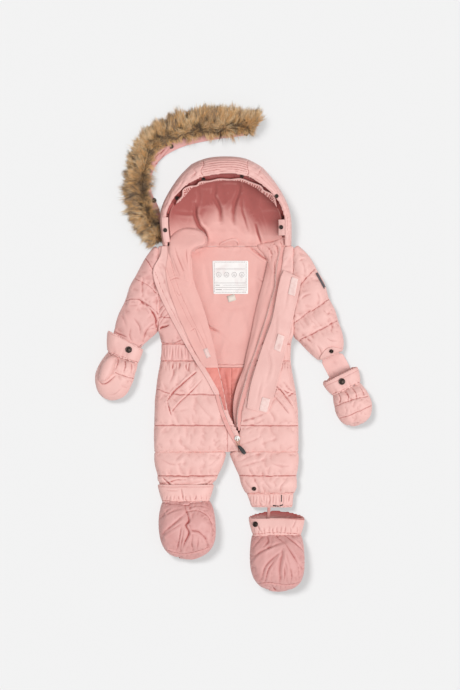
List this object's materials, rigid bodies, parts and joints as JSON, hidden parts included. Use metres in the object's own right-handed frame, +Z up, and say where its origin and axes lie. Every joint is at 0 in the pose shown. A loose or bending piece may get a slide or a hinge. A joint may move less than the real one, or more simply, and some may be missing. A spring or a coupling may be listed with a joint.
{
  "type": "baby snowsuit",
  "caption": "Padded baby snowsuit laid open on its back: fleece-lined hood with fur trim, front zip, storm flap, mittens and booties.",
  "frame": {"origin": "middle of the garment's box, on the surface that it lies on", "axes": "+X towards the storm flap's side, +Y from the booties to the hood, +Z up from the surface"},
  "size_m": [0.5418, 0.9464, 0.067],
  "materials": {
    "padded_nylon": "satin woven nylon, padded and quilted",
    "fleece": "soft brushed fleece",
    "lining_nylon": "smooth thin nylon",
    "zip_tape": "fine ribbed tape",
    "hook_and_loop": "hook and loop",
    "label_satin": "satin",
    "fur": "long pile imitation fur",
    "snap_metal": "dark antique",
    "slider_enamel": "gloss enamel",
    "pull_cord": "braided cord",
    "pull_rubber": "matte"
  },
  "bodies": {
    "suit": {"back_lining": "fleece", "bodice_back": "padded_nylon", "bodice_front_left": "padded_nylon", "bodice_front_right": "padded_nylon", "bootie_left": "padded_nylon", "bootie_left_cuff": "padded_nylon", "bootie_right": "padded_nylon", "bootie_right_cuff": "padded_nylon", "bootie_right_snap": "snap_metal", "bootie_strap": "zip_tape", "care_label": "label_satin", "facing_left": "fleece", "flap_patch_1": "hook_and_loop", "flap_patch_2": "hook_and_loop", "flap_patch_3": "hook_and_loop", "fur": "fur", "fur_strip": "padded_nylon", "hanger_loop": "padded_nylon", "hem_right": "padded_nylon", "hood_brim": "padded_nylon", "hood_centre": "padded_nylon", "hood_frill": "padded_nylon", "hood_left": "padded_nylon", "hood_lining": "fleece", "hood_right": "padded_nylon", "hood_tab_left": "padded_nylon", "hood_tab_right": "padded_nylon", "leg_left": "padded_nylon", "leg_right": "padded_nylon", "leg_right_socket": "snap_metal", "lining_left": "lining_nylon", "lower_front_left": "padded_nylon", "lower_front_right": "padded_nylon", "lower_lining": "lining_nylon", "mitten_left": "padded_nylon", "mitten_left_cuff": "padded_nylon", "mitten_left_snap": "snap_metal", "mitten_left_thumb": "padded_nylon", "mitten_right": "padded_nylon", "mitten_right_cuff": "padded_nylon", "mitten_right_snap": "snap_metal", "mitten_right_strap": "padded_nylon", "placket_left": "padded_nylon", "pocket_welt_left": "padded_nylon", "pocket_welt_right": "padded_nylon", "seat_back": "padded_nylon", "sleeve_left": "padded_nylon", "sleeve_right": "padded_nylon", "sleeve_right_socket": "snap_metal", "sleeve_tab_right": "padded_nylon", "storm_flap": "padded_nylon", "underlap_right": "fleece", "waist_front_left": "padded_nylon", "waist_front_right": "padded_nylon", "zip_slider": "slider_enamel", "zip_tape_left": "zip_tape", "zip_tape_right": "zip_tape"},
    "zip_pull": {"pull_cord": "pull_cord", "pull_tab": "pull_rubber"}
  },
  "joints": [
    {"name": "pull_swing", "type": "hinge", "parent": "suit", "child": "zip_pull", "pos_m": [0.00773, -0.17422, 0.03877], "axis": [-0.9848, -0.1736, 0], "range_deg": [0, 150]}
  ]
}
